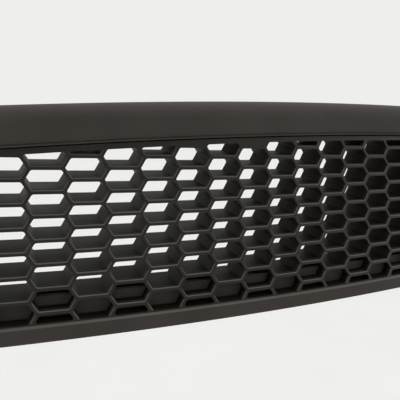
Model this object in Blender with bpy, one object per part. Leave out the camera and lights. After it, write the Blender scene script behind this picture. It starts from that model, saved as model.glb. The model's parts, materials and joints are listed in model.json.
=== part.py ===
"""Front grille of a passenger car.

A honeycomb insert hangs under an upper rail and stands in a lower lip.  A U-shaped channel
backs its lowest rows, a cheek closes each end, and five brackets with push-pin retainers
hold the assembly to the car.

Metres.  +X runs across the car, +Y points to the rear, +Z is up.  The origin is on the
underside of the centre bracket, where it rests on the car's front panel.
"""
import math

import bmesh
import bpy
from mathutils import Matrix, Vector

MM = 0.001
GAP = 0.3 * MM                  # air between two pieces that touch
OVERRUN = 2.0 * MM              # how far a cutting tool looks out of what it cuts

# The face of the grille: bowed in plan, leaning back, with an arched top edge
PLAN_RADIUS = 1.852
RAKE = 0.2561                   # metres back for each metre up
ARCH_RADIUS = 3.214
ARCH_CROWN_Z = 20.4 * MM        # parting line at the centre, above the middle of row 0

# Honeycomb
COLUMN_PITCH = 19.65 * MM       # along the bow
ROW_PITCH = 12.0 * MM
SLANT_RUN = 3.8 * MM            # sideways run of a slanted wall over half a row
CELL_WALL = 2.25 * MM
CELL_DEPTH = 19.0 * MM
SIDE_COLUMNS = 20               # columns each side of the centre one
SMALLEST_OPENING = 1.6 * MM
TOP_STRIP = 3.1 * MM
END_STRIP = 8.0 * MM
INSERT_FOOT = 0.4 * MM          # strip left under the lowest openings
INSERT_FLOOR = 2.6 * MM
FLANGE_WALL = 2.4 * MM
UPPER_FLANGE_SETBACK = 6.0 * MM
UPPER_FLANGE_HEIGHT = 12.0 * MM
LOWER_FLANGE_SETBACK = 3.2 * MM

# Upper rail, as seen in a cut across it; offsets are from the parting line
RAIL_WALL = 2.4 * MM
RAIL_EDGE = (0.2 * MM, 0.9 * MM)   # leaves the dark line above the insert
RAIL_NOSE_LOW = (-7.2 * MM, 8.0 * MM)
RAIL_NOSE_HIGH = (-3.4 * MM, 20.9 * MM)
RAIL_CREST = (9.0 * MM, 20.9 * MM)
RAIL_BACK_DROP = (13.5 * MM, 19.0 * MM)
RAIL_SHELF = (16.0 * MM, 13.0 * MM)
RAIL_SHELF_END = 38.0 * MM
NOSE_STEPS = 7

# Lower lip
LIP_TOP_Z = -77.6 * MM
LIP_HEIGHT = 8.8 * MM
LIP_BOTTOM_Z = LIP_TOP_Z - LIP_HEIGHT
LIP_WALL = 2.1 * MM
LIP_PROUD = 0.8 * MM
LIP_BEVEL = 1.2 * MM
LIP_FRONT_BACK = 2.8 * MM       # rear side of the lip's front wall
LIP_FLOOR_DEPTH = 34.0 * MM

# Lower channel
CHANNEL_WALL = 2.0 * MM
CHANNEL_FRONT = 6.2 * MM
CHANNEL_FRONT_TOP_Z = LIP_TOP_Z + 11.7 * MM
CHANNEL_REAR_TOP_Z = LIP_TOP_Z + 12.4 * MM
CHANNEL_REAR = CELL_DEPTH + GAP + CHANNEL_WALL

# End cheeks
CHEEK_WALL = 2.5 * MM
TAB_WIDTH = 20.0 * MM
TAB_SHARE = 0.556               # tab height, as a share of the insert's end
TAB_BOTTOM_Z = LIP_TOP_Z + 11.6 * MM
TAB_SLOT_WIDTH = 6.5 * MM
TAB_SLOT_LENGTH = 13.0 * MM

# Brackets and push-pin retainers
BRACKET_COLUMNS = (-16, -8, 0, 8, 16)
BRACKET_WIDTH = 30.0 * MM
BRACKET_DEPTH = 47.0 * MM
BRACKET_SHEET = 1.6 * MM
BRACKET_CORNER = 7.0 * MM
JOGGLE_DROP = 3.0 * MM          # the resting part is pressed lower than the screwed part
JOGGLE_RUN = 4.0 * MM
BRACKET_SCREW_SPREAD = 9.0 * MM
BRACKET_SCREW_INSET = 5.5 * MM
PAD_INSET = 25.0 * MM           # resting point, from the bracket's front edge
RETAINER_INSET = 36.0 * MM
RETAINER_NECK_R = 3.9 * MM
RETAINER_COLLAR_R = 8.0 * MM
RETAINER_COLLAR = 1.8 * MM
RETAINER_LEG = 17.0 * MM
RETAINER_TAPER = 9.0 * MM
RETAINER_TIP_R = 3.0 * MM
PIN_R = 1.9 * MM
PIN_HEAD_R = 5.0 * MM
PIN_HEAD = 1.3 * MM
PIN_TIP = 1.5 * MM              # how far the pin looks out of the legs

# Foam strip on the shelf
FOAM_FRONT = 17.6 * MM
FOAM_WIDTH = 5.6 * MM
FOAM_HEIGHT = 3.0 * MM
FOAM_CHAMFER = 0.8 * MM
FOAM_END_MARGIN = 10.0 * MM

# Screws: shank radius, head radius, head height
SCREW_R = 1.5 * MM
SCREW_HEAD_R = 3.8 * MM
SCREW_HEAD = 2.0 * MM
SCREW_LENGTH = 7.6 * MM
RAIL_SCREW_LENGTH = 6.8 * MM
PILOT_R = SCREW_R + GAP
CLEARANCE_R = SCREW_R + 0.6 * MM
BOSS_R = 3.6 * MM
BOSS_ROOT = -1.6 * MM           # where a boss starts inside the rail's wall
BOSS_FLOOR = 1.0 * MM           # end of the hole in it
RAIL_SCREW_COLUMNS = (-19, -12, -4, 4, 12, 19)
RAIL_SCREW_Z = 6.6 * MM
LIP_SCREW_COLUMNS = (-19, -12, -4, 4, 12, 19)
LIP_SCREW_Y = (CHANNEL_FRONT + CHANNEL_REAR) / 2 + RAKE * (LIP_WALL + CHANNEL_WALL)
LIP_SCREW_LENGTH = LIP_WALL + GAP + CHANNEL_WALL + 1.4 * MM
END_SCREW_SHARES = (0.17, 0.65)   # down from the top of the insert's end to the lip

# U-nuts on the lip's floor
NUT_COLUMNS = (-16, -8, 8, 16)
NUT_SHEET = 0.9 * MM
NUT_WIDTH = 14.0 * MM
NUT_GRIP = 10.5 * MM
NUT_HOLE_R = 2.6 * MM
NUT_HOLE_INSET = 6.0 * MM

SCREW_SIDES = 8
ROUND_SIDES = 14
FACET_COLUMNS = 4               # columns to one straight facet of the bow
ROWS_ABOVE = math.ceil(ARCH_CROWN_Z / ROW_PITCH)
ROWS_BELOW = math.ceil(-LIP_TOP_Z / ROW_PITCH)


# ---------------------------------------------------------------- the bowed face

def bow(x):
    """How far back the face lies at x, at the height of row 0."""
    return x * x / (2 * PLAN_RADIUS)


def face_y(x, z):
    return bow(x) + RAKE * z


def arc_to_x(arc):
    """X of the point that lies arc along the bow from the centre."""
    return arc - arc ** 3 / (6 * PLAN_RADIUS ** 2)


def parting_z(x):
    """Height of the line where the rail meets the insert."""
    return ARCH_CROWN_Z - x * x / (2 * ARCH_RADIUS)


def parting_point(x):
    z = parting_z(x)
    return Vector((x, face_y(x, z), z))


def lip_point(x):
    return Vector((x, face_y(x, LIP_BOTTOM_Z), LIP_BOTTOM_Z))


INSERT_END_ARC = SIDE_COLUMNS * COLUMN_PITCH + (COLUMN_PITCH + SLANT_RUN) / 2 + END_STRIP
INSERT_END_X = arc_to_x(INSERT_END_ARC)
BRACKET_SKEW = BRACKET_WIDTH / 2 * arc_to_x(BRACKET_COLUMNS[-1] * COLUMN_PITCH) / PLAN_RADIUS
BRACKET_FRONT = FOAM_FRONT + FOAM_WIDTH + BRACKET_SKEW + 4 * GAP
END_TOP_Z = parting_z(INSERT_END_X)
TAB_HEIGHT = TAB_SHARE * (END_TOP_Z - LIP_TOP_Z)
END_SCREW_Z = [END_TOP_Z + share * (LIP_TOP_Z - END_TOP_Z) for share in END_SCREW_SHARES]


def stations(end_x=INSERT_END_X):
    """X of the cuts that bowed pieces are lofted through, with a facet across the centre."""
    facets = SIDE_COLUMNS // FACET_COLUMNS + 1
    cuts = [(i + 0.5) * FACET_COLUMNS * COLUMN_PITCH for i in range(facets)]
    right = [arc_to_x(arc) for arc in cuts if arc_to_x(arc) < end_x - COLUMN_PITCH / 2]
    return [-end_x] + [-x for x in reversed(right)] + right + [end_x]


def facet(line, column):
    """Point of a bowed line at a column, on its straight facet, and the facet's direction."""
    x = arc_to_x(column * COLUMN_PITCH)
    cuts = stations()
    last = next(i for i in range(1, len(cuts)) if x <= cuts[i])
    start = line(cuts[last - 1])
    end = line(cuts[last])
    share = (x - start.x) / (end.x - start.x)
    return start.lerp(end, share), (end - start).normalized()


# ---------------------------------------------------------------- modelling helpers

def clear_scene():
    for old in list(bpy.data.objects):
        bpy.data.objects.remove(old, do_unlink=True)


def plastic(name, colour, roughness, metallic=0.0):
    material = bpy.data.materials.new(name)
    material.use_nodes = True
    shader = material.node_tree.nodes["Principled BSDF"]
    shader.inputs["Base Color"].default_value = (*colour, 1.0)
    shader.inputs["Roughness"].default_value = roughness
    shader.inputs["Metallic"].default_value = metallic
    return material


def solid(name, bm, material, datum, placing=Matrix()):
    """Turn a bmesh into a named object on the datum, with its faces pointing out."""
    bmesh.ops.recalc_face_normals(bm, faces=bm.faces)
    mesh = bpy.data.meshes.new(name)
    bm.to_mesh(mesh)
    bm.free()
    obj = bpy.data.objects.new(name, mesh)
    bpy.context.collection.objects.link(obj)
    mesh.materials.append(material)
    obj.parent = datum
    obj.matrix_local = placing
    return obj


def smooth(obj, angle=35):
    obj.data.shade_smooth()
    obj.data.set_sharp_from_angle(angle=math.radians(angle))


def boolean(target, tool, operation):
    """Cut or join with a tool that is never part of the grille."""
    tool.hide_render = True
    tool.display_type = "WIRE"
    modifier = target.modifiers.new(tool.name, "BOOLEAN")
    modifier.operation = operation
    modifier.solver = "EXACT"
    modifier.object = tool


def loft(bm, loops):
    """Closed solid through loops of equally many points, with flat ends."""
    rings = [[bm.verts.new(point) for point in loop] for loop in loops]
    count = len(rings[0])
    for near, far in zip(rings, rings[1:]):
        for i in range(count):
            j = (i + 1) % count
            bm.faces.new((near[i], near[j], far[j], far[i]))
    bm.faces.new(rings[0][::-1])
    bm.faces.new(rings[-1])


def turned(bm, profile, sides, placing=Matrix()):
    """Solid of revolution about Z from (radius, z) points; a radius of 0 closes an end."""
    rings = []
    for radius, z in profile:
        if radius == 0:
            rings.append([bm.verts.new(placing @ Vector((0, 0, z)))])
            continue
        angles = [2 * math.pi * i / sides for i in range(sides)]
        points = [Vector((radius * math.cos(a), radius * math.sin(a), z)) for a in angles]
        rings.append([bm.verts.new(placing @ point) for point in points])
    for near, far in zip(rings, rings[1:]):
        for i in range(sides):
            j = (i + 1) % sides
            corners = [near[i % len(near)], near[j % len(near)], far[j % len(far)], far[i % len(far)]]
            bm.faces.new(list(dict.fromkeys(corners)))


def tube_rings(bm, profile, sides):
    """Solid of revolution about Z whose (radius, z) profile closes on itself."""
    angles = [2 * math.pi * i / sides for i in range(sides)]
    rings = [[bm.verts.new((r * math.cos(a), r * math.sin(a), z)) for a in angles] for r, z in profile]
    for near, far in zip(rings, rings[1:] + rings[:1]):
        for i in range(sides):
            j = (i + 1) % sides
            bm.faces.new((near[i], near[j], far[j], far[i]))


def rod(bm, radius, start, end, sides, placing):
    """Plain cylinder along the local Z axis of placing."""
    turned(bm, [(0, start), (radius, start), (radius, end), (0, end)], sides, placing)


def bezier(start, pull_out, pull_in, end, steps):
    points = []
    for i in range(steps + 1):
        t = i / steps
        s = 1 - t
        points.append(tuple(s ** 3 * a + 3 * s * s * t * b + 3 * s * t * t * c + t ** 3 * d
                            for a, b, c, d in zip(start, pull_out, pull_in, end)))
    return points


def thicken(path, wall):
    """Closed section from an open (y, z) path, with the wall on the path's right-hand side."""
    points = [Vector(point) for point in path]
    runs = [(b - a).normalized() for a, b in zip(points, points[1:])]
    inner = []
    for i, point in enumerate(points):
        before = runs[max(i - 1, 0)]
        after = runs[min(i, len(runs) - 1)]
        side_before = Vector((before.y, -before.x))
        side_after = Vector((after.y, -after.x))
        mitre = (side_before + side_after).normalized()
        inner.append(point + mitre * (wall / mitre.dot(side_after)))
    return [tuple(p) for p in points] + [tuple(p) for p in reversed(inner)]


def raked_loop(x, section):
    """Section given as (distance behind the face, absolute height)."""
    return [(x, face_y(x, z) + y, z) for y, z in section]


def rail_loop(x, section):
    """Section given as offsets from the parting line."""
    base = parting_point(x)
    return [(x, base.y + y, base.z + z) for y, z in section]


def clip(outline, keep):
    """Part of a flat outline where the linear function keep is positive."""
    kept = []
    for a, b in zip(outline, outline[1:] + outline[:1]):
        value_a = keep(a)
        value_b = keep(b)
        if value_a > 0:
            kept.append(a)
        if value_a * value_b < 0:
            t = value_a / (value_a - value_b)
            kept.append((a[0] + (b[0] - a[0]) * t, a[1] + (b[1] - a[1]) * t))
    return kept


# ---------------------------------------------------------------- honeycomb insert

def opening(column, row):
    """Outline of one honeycomb opening in the X-Z plane, before the border trims it."""
    centre_x = arc_to_x(column * COLUMN_PITCH)
    slope = centre_x / PLAN_RADIUS
    foreshortening = 1 / math.sqrt(1 + slope * slope)
    centre_z = -row * ROW_PITCH
    half_height = (ROW_PITCH - CELL_WALL) / 2
    run_per_rise = 2 * SLANT_RUN * foreshortening / ROW_PITCH
    cell_half = (COLUMN_PITCH + SLANT_RUN) * foreshortening / 2
    tip = cell_half - CELL_WALL / 2 * math.sqrt(1 + run_per_rise ** 2)
    shoulder = tip - half_height * run_per_rise
    corners = [(-tip, 0), (-shoulder, half_height), (shoulder, half_height),
               (tip, 0), (shoulder, -half_height), (-shoulder, -half_height)]
    return [(centre_x + x, centre_z + z) for x, z in corners]


def trim_to_border(outline):
    """Keep an opening under the top strip and above the foot strip."""
    left = min(x for x, z in outline)
    right = max(x for x, z in outline)
    top_left = parting_z(left) - TOP_STRIP
    slope = (parting_z(right) - TOP_STRIP - top_left) / (right - left)
    floor = LIP_TOP_Z + GAP + INSERT_FOOT
    outline = clip(outline, lambda p: top_left + slope * (p[0] - left) - p[1])
    if len(outline) < 3:
        return []
    outline = clip(outline, lambda p: p[1] - floor)
    if len(outline) < 3:
        return []
    height = max(z for x, z in outline) - min(z for x, z in outline)
    return outline if height > SMALLEST_OPENING else []


def insert_openings():
    """Openings of every column: odd columns sit half a row lower."""
    for column in range(-SIDE_COLUMNS, SIDE_COLUMNS + 1):
        shift = 0.5 if column % 2 else 0.0
        for row in range(-ROWS_ABOVE, ROWS_BELOW + 1):
            outline = trim_to_border(opening(column, row - shift))
            if outline:
                yield outline


def insert_section(x):
    """Cut across the insert: lattice block, flange behind the rail, flange behind the lip."""
    top = parting_point(x)
    face_bottom = LIP_TOP_Z + GAP
    floor_bottom = face_bottom - INSERT_FLOOR
    flange_bottom = LIP_BOTTOM_Z + LIP_WALL + GAP
    flange_back = LOWER_FLANGE_SETBACK + FLANGE_WALL
    notch_back = CHANNEL_FRONT - GAP
    notch_top = CHANNEL_FRONT_TOP_Z + GAP
    lower = raked_loop(x, [(0, face_bottom), (LOWER_FLANGE_SETBACK, face_bottom),
                           (LOWER_FLANGE_SETBACK, flange_bottom), (flange_back, flange_bottom),
                           (flange_back, floor_bottom), (notch_back, floor_bottom),
                           (notch_back, notch_top), (CELL_DEPTH, notch_top)])
    upper = rail_loop(x, [(CELL_DEPTH, 0),
                          (UPPER_FLANGE_SETBACK + FLANGE_WALL, 0),
                          (UPPER_FLANGE_SETBACK + FLANGE_WALL, UPPER_FLANGE_HEIGHT),
                          (UPPER_FLANGE_SETBACK, UPPER_FLANGE_HEIGHT),
                          (UPPER_FLANGE_SETBACK, 0)])
    return [tuple(top)] + lower + upper


def make_insert(black, datum):
    bm = bmesh.new()
    loft(bm, [insert_section(x) for x in stations()])
    insert = solid("honeycomb_insert", bm, black, datum)

    tool = bmesh.new()
    reach = 6 * MM
    for outline in insert_openings():
        middle_x = sum(x for x, z in outline) / len(outline)
        middle_z = sum(z for x, z in outline) / len(outline)
        front = face_y(middle_x, middle_z) - reach
        back = front + CELL_DEPTH + 2 * reach
        loft(tool, [[(x, front, z) for x, z in outline], [(x, back, z) for x, z in outline]])
    for column in RAIL_SCREW_COLUMNS:
        rod(tool, CLEARANCE_R, UPPER_FLANGE_SETBACK - OVERRUN,
            UPPER_FLANGE_SETBACK + FLANGE_WALL + OVERRUN, SCREW_SIDES, rail_screw_placing(column))
    for side in (-1, 1):
        for z in END_SCREW_Z:
            rod(tool, PILOT_R, -SCREW_LENGTH, OVERRUN, SCREW_SIDES, end_screw_placing(side, z))
    boolean(insert, solid("cut_insert", tool, black, datum), "DIFFERENCE")
    return insert


# ---------------------------------------------------------------- upper rail

def rail_section():
    nose = bezier(RAIL_EDGE, RAIL_NOSE_LOW, RAIL_NOSE_HIGH, RAIL_CREST, NOSE_STEPS)
    path = nose + [RAIL_BACK_DROP, RAIL_SHELF, (RAIL_SHELF_END, RAIL_SHELF[1])]
    return path, thicken(path, RAIL_WALL)


def rail_screw_placing(column):
    """Local Z points straight out of the back of the rail; zero is on the parting line."""
    middle, along = facet(parting_point, column)
    turn = math.atan2(along.y, along.x)
    height = Vector((0, 0, RAIL_SCREW_Z))
    return (Matrix.Translation(middle + height) @ Matrix.Rotation(turn, 4, "Z")
            @ Matrix.Rotation(-math.pi / 2, 4, "X"))


def shelf_placing(column, y):
    """Local Z stands square on the rail's shelf, y behind the parting line."""
    middle, along = facet(parting_point, column)
    tilt = math.atan2(along.z, along.x)
    offset = Vector((0, y, RAIL_SHELF[1]))
    return Matrix.Translation(middle + offset) @ Matrix.Rotation(-tilt, 4, "Y")


def make_rail(black, datum):
    _, section = rail_section()
    bm = bmesh.new()
    loft(bm, [rail_loop(x, section) for x in stations()])
    rail = solid("upper_rail", bm, black, datum)
    smooth(rail)

    bosses = bmesh.new()
    holes = bmesh.new()
    boss_end = UPPER_FLANGE_SETBACK - GAP
    for column in RAIL_SCREW_COLUMNS:
        placing = rail_screw_placing(column)
        rod(bosses, BOSS_R, BOSS_ROOT, boss_end, SCREW_SIDES, placing)
        rod(holes, PILOT_R, BOSS_FLOOR, boss_end + OVERRUN, SCREW_SIDES, placing)
    for column in BRACKET_COLUMNS:
        for spread in (-BRACKET_SCREW_SPREAD, BRACKET_SCREW_SPREAD):
            placing = shelf_placing(column, BRACKET_FRONT + BRACKET_SCREW_INSET)
            placing = placing @ Matrix.Translation((spread, 0, 0))
            rod(holes, PILOT_R, -RAIL_WALL - OVERRUN, OVERRUN, SCREW_SIDES, placing)
    boolean(rail, solid("rail_bosses", bosses, black, datum), "UNION")
    boolean(rail, solid("rail_holes", holes, black, datum), "DIFFERENCE")
    return rail


# ---------------------------------------------------------------- lower lip and channel

def floor_placing(column, y):
    """Local Z points down out of the lip's floor; zero is on its underside."""
    middle, _ = facet(lip_point, column)
    return Matrix.Translation(middle + Vector((0, y, 0))) @ Matrix.Rotation(math.pi, 4, "X")


def make_lip(black, datum):
    section = [(LIP_FRONT_BACK, LIP_TOP_Z), (LIP_BEVEL - LIP_PROUD, LIP_TOP_Z),
               (-LIP_PROUD, LIP_TOP_Z - LIP_BEVEL), (-LIP_PROUD, LIP_BOTTOM_Z + LIP_BEVEL / 2),
               (LIP_BEVEL / 2 - LIP_PROUD, LIP_BOTTOM_Z), (LIP_FLOOR_DEPTH, LIP_BOTTOM_Z),
               (LIP_FLOOR_DEPTH, LIP_BOTTOM_Z + LIP_WALL), (LIP_FRONT_BACK, LIP_BOTTOM_Z + LIP_WALL)]
    bm = bmesh.new()
    loft(bm, [raked_loop(x, section) for x in stations()])
    lip = solid("lower_lip", bm, black, datum)

    holes = bmesh.new()
    for column in LIP_SCREW_COLUMNS:
        rod(holes, CLEARANCE_R, -LIP_WALL - OVERRUN, OVERRUN, SCREW_SIDES,
            floor_placing(column, LIP_SCREW_Y))
    for column in NUT_COLUMNS:
        rod(holes, NUT_HOLE_R + GAP, -LIP_WALL - OVERRUN, OVERRUN, SCREW_SIDES,
            floor_placing(column, LIP_FLOOR_DEPTH - NUT_HOLE_INSET))
    boolean(lip, solid("lip_holes", holes, black, datum), "DIFFERENCE")
    return lip


def make_channel(black, datum):
    base = LIP_BOTTOM_Z + LIP_WALL + GAP
    front_back = CHANNEL_FRONT + CHANNEL_WALL
    rear_front = CHANNEL_REAR - CHANNEL_WALL
    section = [(CHANNEL_FRONT, CHANNEL_FRONT_TOP_Z), (CHANNEL_FRONT, base), (CHANNEL_REAR, base),
               (CHANNEL_REAR, CHANNEL_REAR_TOP_Z), (rear_front, CHANNEL_REAR_TOP_Z),
               (rear_front, base + CHANNEL_WALL), (front_back, base + CHANNEL_WALL),
               (front_back, CHANNEL_FRONT_TOP_Z)]
    bm = bmesh.new()
    loft(bm, [raked_loop(x, section) for x in stations()])
    channel = solid("lower_channel", bm, black, datum)

    holes = bmesh.new()
    for column in LIP_SCREW_COLUMNS:
        rod(holes, PILOT_R, -LIP_WALL - GAP - CHANNEL_WALL - OVERRUN, OVERRUN - LIP_WALL,
            SCREW_SIDES, floor_placing(column, LIP_SCREW_Y))
    boolean(channel, solid("channel_holes", holes, black, datum), "DIFFERENCE")
    return channel


# ---------------------------------------------------------------- end cheeks

def end_screw_placing(side, z):
    """Local Z points out of an end of the insert, in the middle of its solid part."""
    y = face_y(INSERT_END_X, z) + (CHANNEL_FRONT + CELL_DEPTH) / 2
    return Matrix.Translation((side * INSERT_END_X, y, z)) @ Matrix.Rotation(side * math.pi / 2, 4, "Y")


def cheek_outline():
    """Side view of the whole grille: lip, insert face, rail nose, shelf and a straight back."""
    rail_path, _ = rail_section()
    lower = [(y, z) for _, y, z in raked_loop(INSERT_END_X, [
        (LIP_FLOOR_DEPTH, LIP_BOTTOM_Z), (LIP_BEVEL / 2 - LIP_PROUD, LIP_BOTTOM_Z),
        (-LIP_PROUD, LIP_BOTTOM_Z + LIP_BEVEL / 2), (-LIP_PROUD, parting_z(INSERT_END_X))])]
    upper = [(y, z) for _, y, z in rail_loop(INSERT_END_X, rail_path)]
    return lower + upper


def tab_back_y():
    """Rear side of an end tab: the cheek's rear corner at the lip's floor."""
    return face_y(INSERT_END_X, LIP_BOTTOM_Z) + LIP_FLOOR_DEPTH


def make_cheek(side, name, black, datum):
    inner = INSERT_END_X + GAP
    outer = inner + CHEEK_WALL
    outline = cheek_outline()
    bm = bmesh.new()
    loft(bm, [[(side * x, y, z) for y, z in outline] for x in (inner, outer)])
    cheek = solid(name, bm, black, datum)

    tab = bmesh.new()
    tab_root = inner + CHEEK_WALL / 2
    tab_end = outer + TAB_WIDTH
    back = tab_back_y()
    front = back - CHEEK_WALL
    corner = TAB_HEIGHT / 5
    low = TAB_BOTTOM_Z
    high = TAB_BOTTOM_Z + TAB_HEIGHT
    shape = [(tab_root, low), (tab_end - corner, low), (tab_end, low + corner),
             (tab_end, high - corner), (tab_end - corner, high), (tab_root, high)]
    loft(tab, [[(side * x, y, z) for x, z in shape] for y in (front, back)])
    boolean(cheek, solid(name + "_tab", tab, black, datum), "UNION")

    cuts = bmesh.new()
    slot_x = outer + TAB_WIDTH / 2
    half = (TAB_SLOT_LENGTH - TAB_SLOT_WIDTH) / 2
    middle = TAB_BOTTOM_Z + TAB_HEIGHT / 2
    slot = []
    for sign, centre in ((1, middle + half), (-1, middle - half)):
        for i in range(7):
            angle = math.pi * i / 6
            slot.append((slot_x + sign * TAB_SLOT_WIDTH / 2 * math.cos(angle),
                         centre + sign * TAB_SLOT_WIDTH / 2 * math.sin(angle)))
    loft(cuts, [[(side * x, y, z) for x, z in slot] for y in (front - OVERRUN, back + OVERRUN)])
    for z in END_SCREW_Z:
        rod(cuts, CLEARANCE_R, -OVERRUN, CHEEK_WALL + OVERRUN, SCREW_SIDES, end_screw_placing(side, z))
    boolean(cheek, solid(name + "_cuts", cuts, black, datum), "DIFFERENCE")
    return cheek


# ---------------------------------------------------------------- brackets, retainers, foam

def rounded_plate(width, depth, corner, steps=4):
    """Plate outline with square front corners and round rear ones; y starts at 0."""
    outline = [(-width / 2, 0), (width / 2, 0)]
    for sign, start in ((1, 0.0), (-1, math.pi / 2)):
        for i in range(steps + 1):
            angle = start + math.pi / 2 * i / steps
            outline.append((sign * (width / 2 - corner) + corner * math.cos(angle),
                            depth - corner + corner * math.sin(angle)))
    return outline


def make_bracket(index, column, steel, datum):
    """Joggled steel strip: screwed on the shelf in front, resting on the car behind."""
    upper = GAP + BRACKET_SHEET
    joggle = RAIL_SHELF_END - BRACKET_FRONT + BRACKET_SKEW + 2 * GAP
    section = thicken([(0, upper), (joggle, upper), (joggle + JOGGLE_RUN, upper - JOGGLE_DROP),
                       (BRACKET_DEPTH, upper - JOGGLE_DROP)], BRACKET_SHEET)
    bm = bmesh.new()
    loft(bm, [[(x, y, z) for y, z in section] for x in (-BRACKET_WIDTH / 2, BRACKET_WIDTH / 2)])
    placing = shelf_placing(column, BRACKET_FRONT)
    bracket = solid(f"bracket_{index}", bm, steel, datum, placing)

    blank = bmesh.new()
    blank_reach = JOGGLE_DROP + upper + OVERRUN
    outline = rounded_plate(BRACKET_WIDTH + GAP, BRACKET_DEPTH, BRACKET_CORNER)
    loft(blank, [[(x, y - GAP, z) for x, y in outline] for z in (-blank_reach, blank_reach)])
    boolean(bracket, solid(f"bracket_{index}_blank", blank, steel, datum, placing), "INTERSECT")

    cuts = bmesh.new()
    for spread in (-BRACKET_SCREW_SPREAD, BRACKET_SCREW_SPREAD):
        rod(cuts, CLEARANCE_R, -OVERRUN, BRACKET_SHEET + OVERRUN, SCREW_SIDES,
            Matrix.Translation((spread, BRACKET_SCREW_INSET, 0)))
    rod(cuts, RETAINER_NECK_R + GAP, -JOGGLE_DROP - OVERRUN, OVERRUN, ROUND_SIDES,
        Matrix.Translation((0, RETAINER_INSET, 0)))
    boolean(bracket, solid(f"bracket_{index}_cuts", cuts, steel, datum, placing), "DIFFERENCE")
    return bracket


def retainer_placing(column):
    """Local Z up the retainer's axis; zero is on top of the bracket."""
    top = Matrix.Translation((0, 0, GAP + BRACKET_SHEET - JOGGLE_DROP))
    return shelf_placing(column, BRACKET_FRONT + RETAINER_INSET) @ top


def pad_point(column):
    """Middle of the face that a bracket rests on the car with."""
    return shelf_placing(column, BRACKET_FRONT + PAD_INSET) @ Vector((0, 0, GAP - JOGGLE_DROP))


def make_retainer(index, column, nylon, datum):
    bore = PIN_R + GAP
    neck_end = RETAINER_TAPER - RETAINER_LEG
    profile = [(bore, GAP + RETAINER_COLLAR), (RETAINER_COLLAR_R, GAP + RETAINER_COLLAR),
               (RETAINER_COLLAR_R, GAP), (RETAINER_NECK_R, GAP), (RETAINER_NECK_R, neck_end),
               (RETAINER_TIP_R, -RETAINER_LEG), (bore, -RETAINER_LEG)]
    bm = bmesh.new()
    tube_rings(bm, profile, ROUND_SIDES)
    body = solid(f"retainer_body_{index}", bm, nylon, datum, retainer_placing(column))
    smooth(body)
    return body


def make_pin(index, column, nylon, datum):
    seat = 2 * GAP + RETAINER_COLLAR
    tip = -RETAINER_LEG - PIN_TIP
    profile = [(0, seat + PIN_HEAD), (PIN_HEAD_R, seat + PIN_HEAD), (PIN_HEAD_R, seat),
               (PIN_R, seat), (PIN_R, tip), (0, tip)]
    bm = bmesh.new()
    turned(bm, profile, SCREW_SIDES)
    pin = solid(f"retainer_pin_{index}", bm, nylon, datum, retainer_placing(column))
    smooth(pin)
    return pin


def make_foam(foam, datum):
    low = RAIL_SHELF[1] + GAP
    section = [(FOAM_FRONT, low), (FOAM_FRONT + FOAM_WIDTH, low),
               (FOAM_FRONT + FOAM_WIDTH, low + FOAM_HEIGHT - FOAM_CHAMFER),
               (FOAM_FRONT + FOAM_WIDTH - FOAM_CHAMFER, low + FOAM_HEIGHT),
               (FOAM_FRONT + FOAM_CHAMFER, low + FOAM_HEIGHT), (FOAM_FRONT, low + FOAM_HEIGHT - FOAM_CHAMFER)]
    bm = bmesh.new()
    loft(bm, [rail_loop(x, section) for x in stations(INSERT_END_X - FOAM_END_MARGIN)])
    return solid("foam_seal", bm, foam, datum)


# ---------------------------------------------------------------- fasteners

def make_screw(name, placing, grip, steel, datum):
    """Pan-head screw: head above the local Z of zero plus a gap, shank through grip below."""
    profile = [(0, GAP + SCREW_HEAD), (SCREW_HEAD_R, GAP + SCREW_HEAD), (SCREW_HEAD_R, GAP),
               (SCREW_R, GAP), (SCREW_R, -grip), (0, -grip)]
    bm = bmesh.new()
    turned(bm, profile, SCREW_SIDES)
    screw = solid(name, bm, steel, datum, placing)
    smooth(screw)
    return screw


def make_rail_screws(steel, datum):
    back = Matrix.Translation((0, 0, UPPER_FLANGE_SETBACK + FLANGE_WALL))
    for index, column in enumerate(RAIL_SCREW_COLUMNS, 1):
        make_screw(f"rail_screw_{index}", rail_screw_placing(column) @ back, RAIL_SCREW_LENGTH, steel, datum)


def make_bracket_screws(steel, datum):
    index = 0
    for column in BRACKET_COLUMNS:
        for spread in (-BRACKET_SCREW_SPREAD, BRACKET_SCREW_SPREAD):
            index += 1
            placing = (shelf_placing(column, BRACKET_FRONT + BRACKET_SCREW_INSET)
                       @ Matrix.Translation((spread, 0, GAP + BRACKET_SHEET)))
            make_screw(f"bracket_screw_{index}", placing, SCREW_LENGTH, steel, datum)


def make_lip_screws(steel, datum):
    for index, column in enumerate(LIP_SCREW_COLUMNS, 1):
        make_screw(f"lip_screw_{index}", floor_placing(column, LIP_SCREW_Y), LIP_SCREW_LENGTH, steel, datum)


def make_end_screws(steel, datum):
    outside = Matrix.Translation((0, 0, GAP + CHEEK_WALL))
    places = [(side, z) for side in (-1, 1) for z in END_SCREW_Z]
    for index, (side, z) in enumerate(places, 1):
        make_screw(f"end_screw_{index}", end_screw_placing(side, z) @ outside, SCREW_LENGTH, steel, datum)


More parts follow.
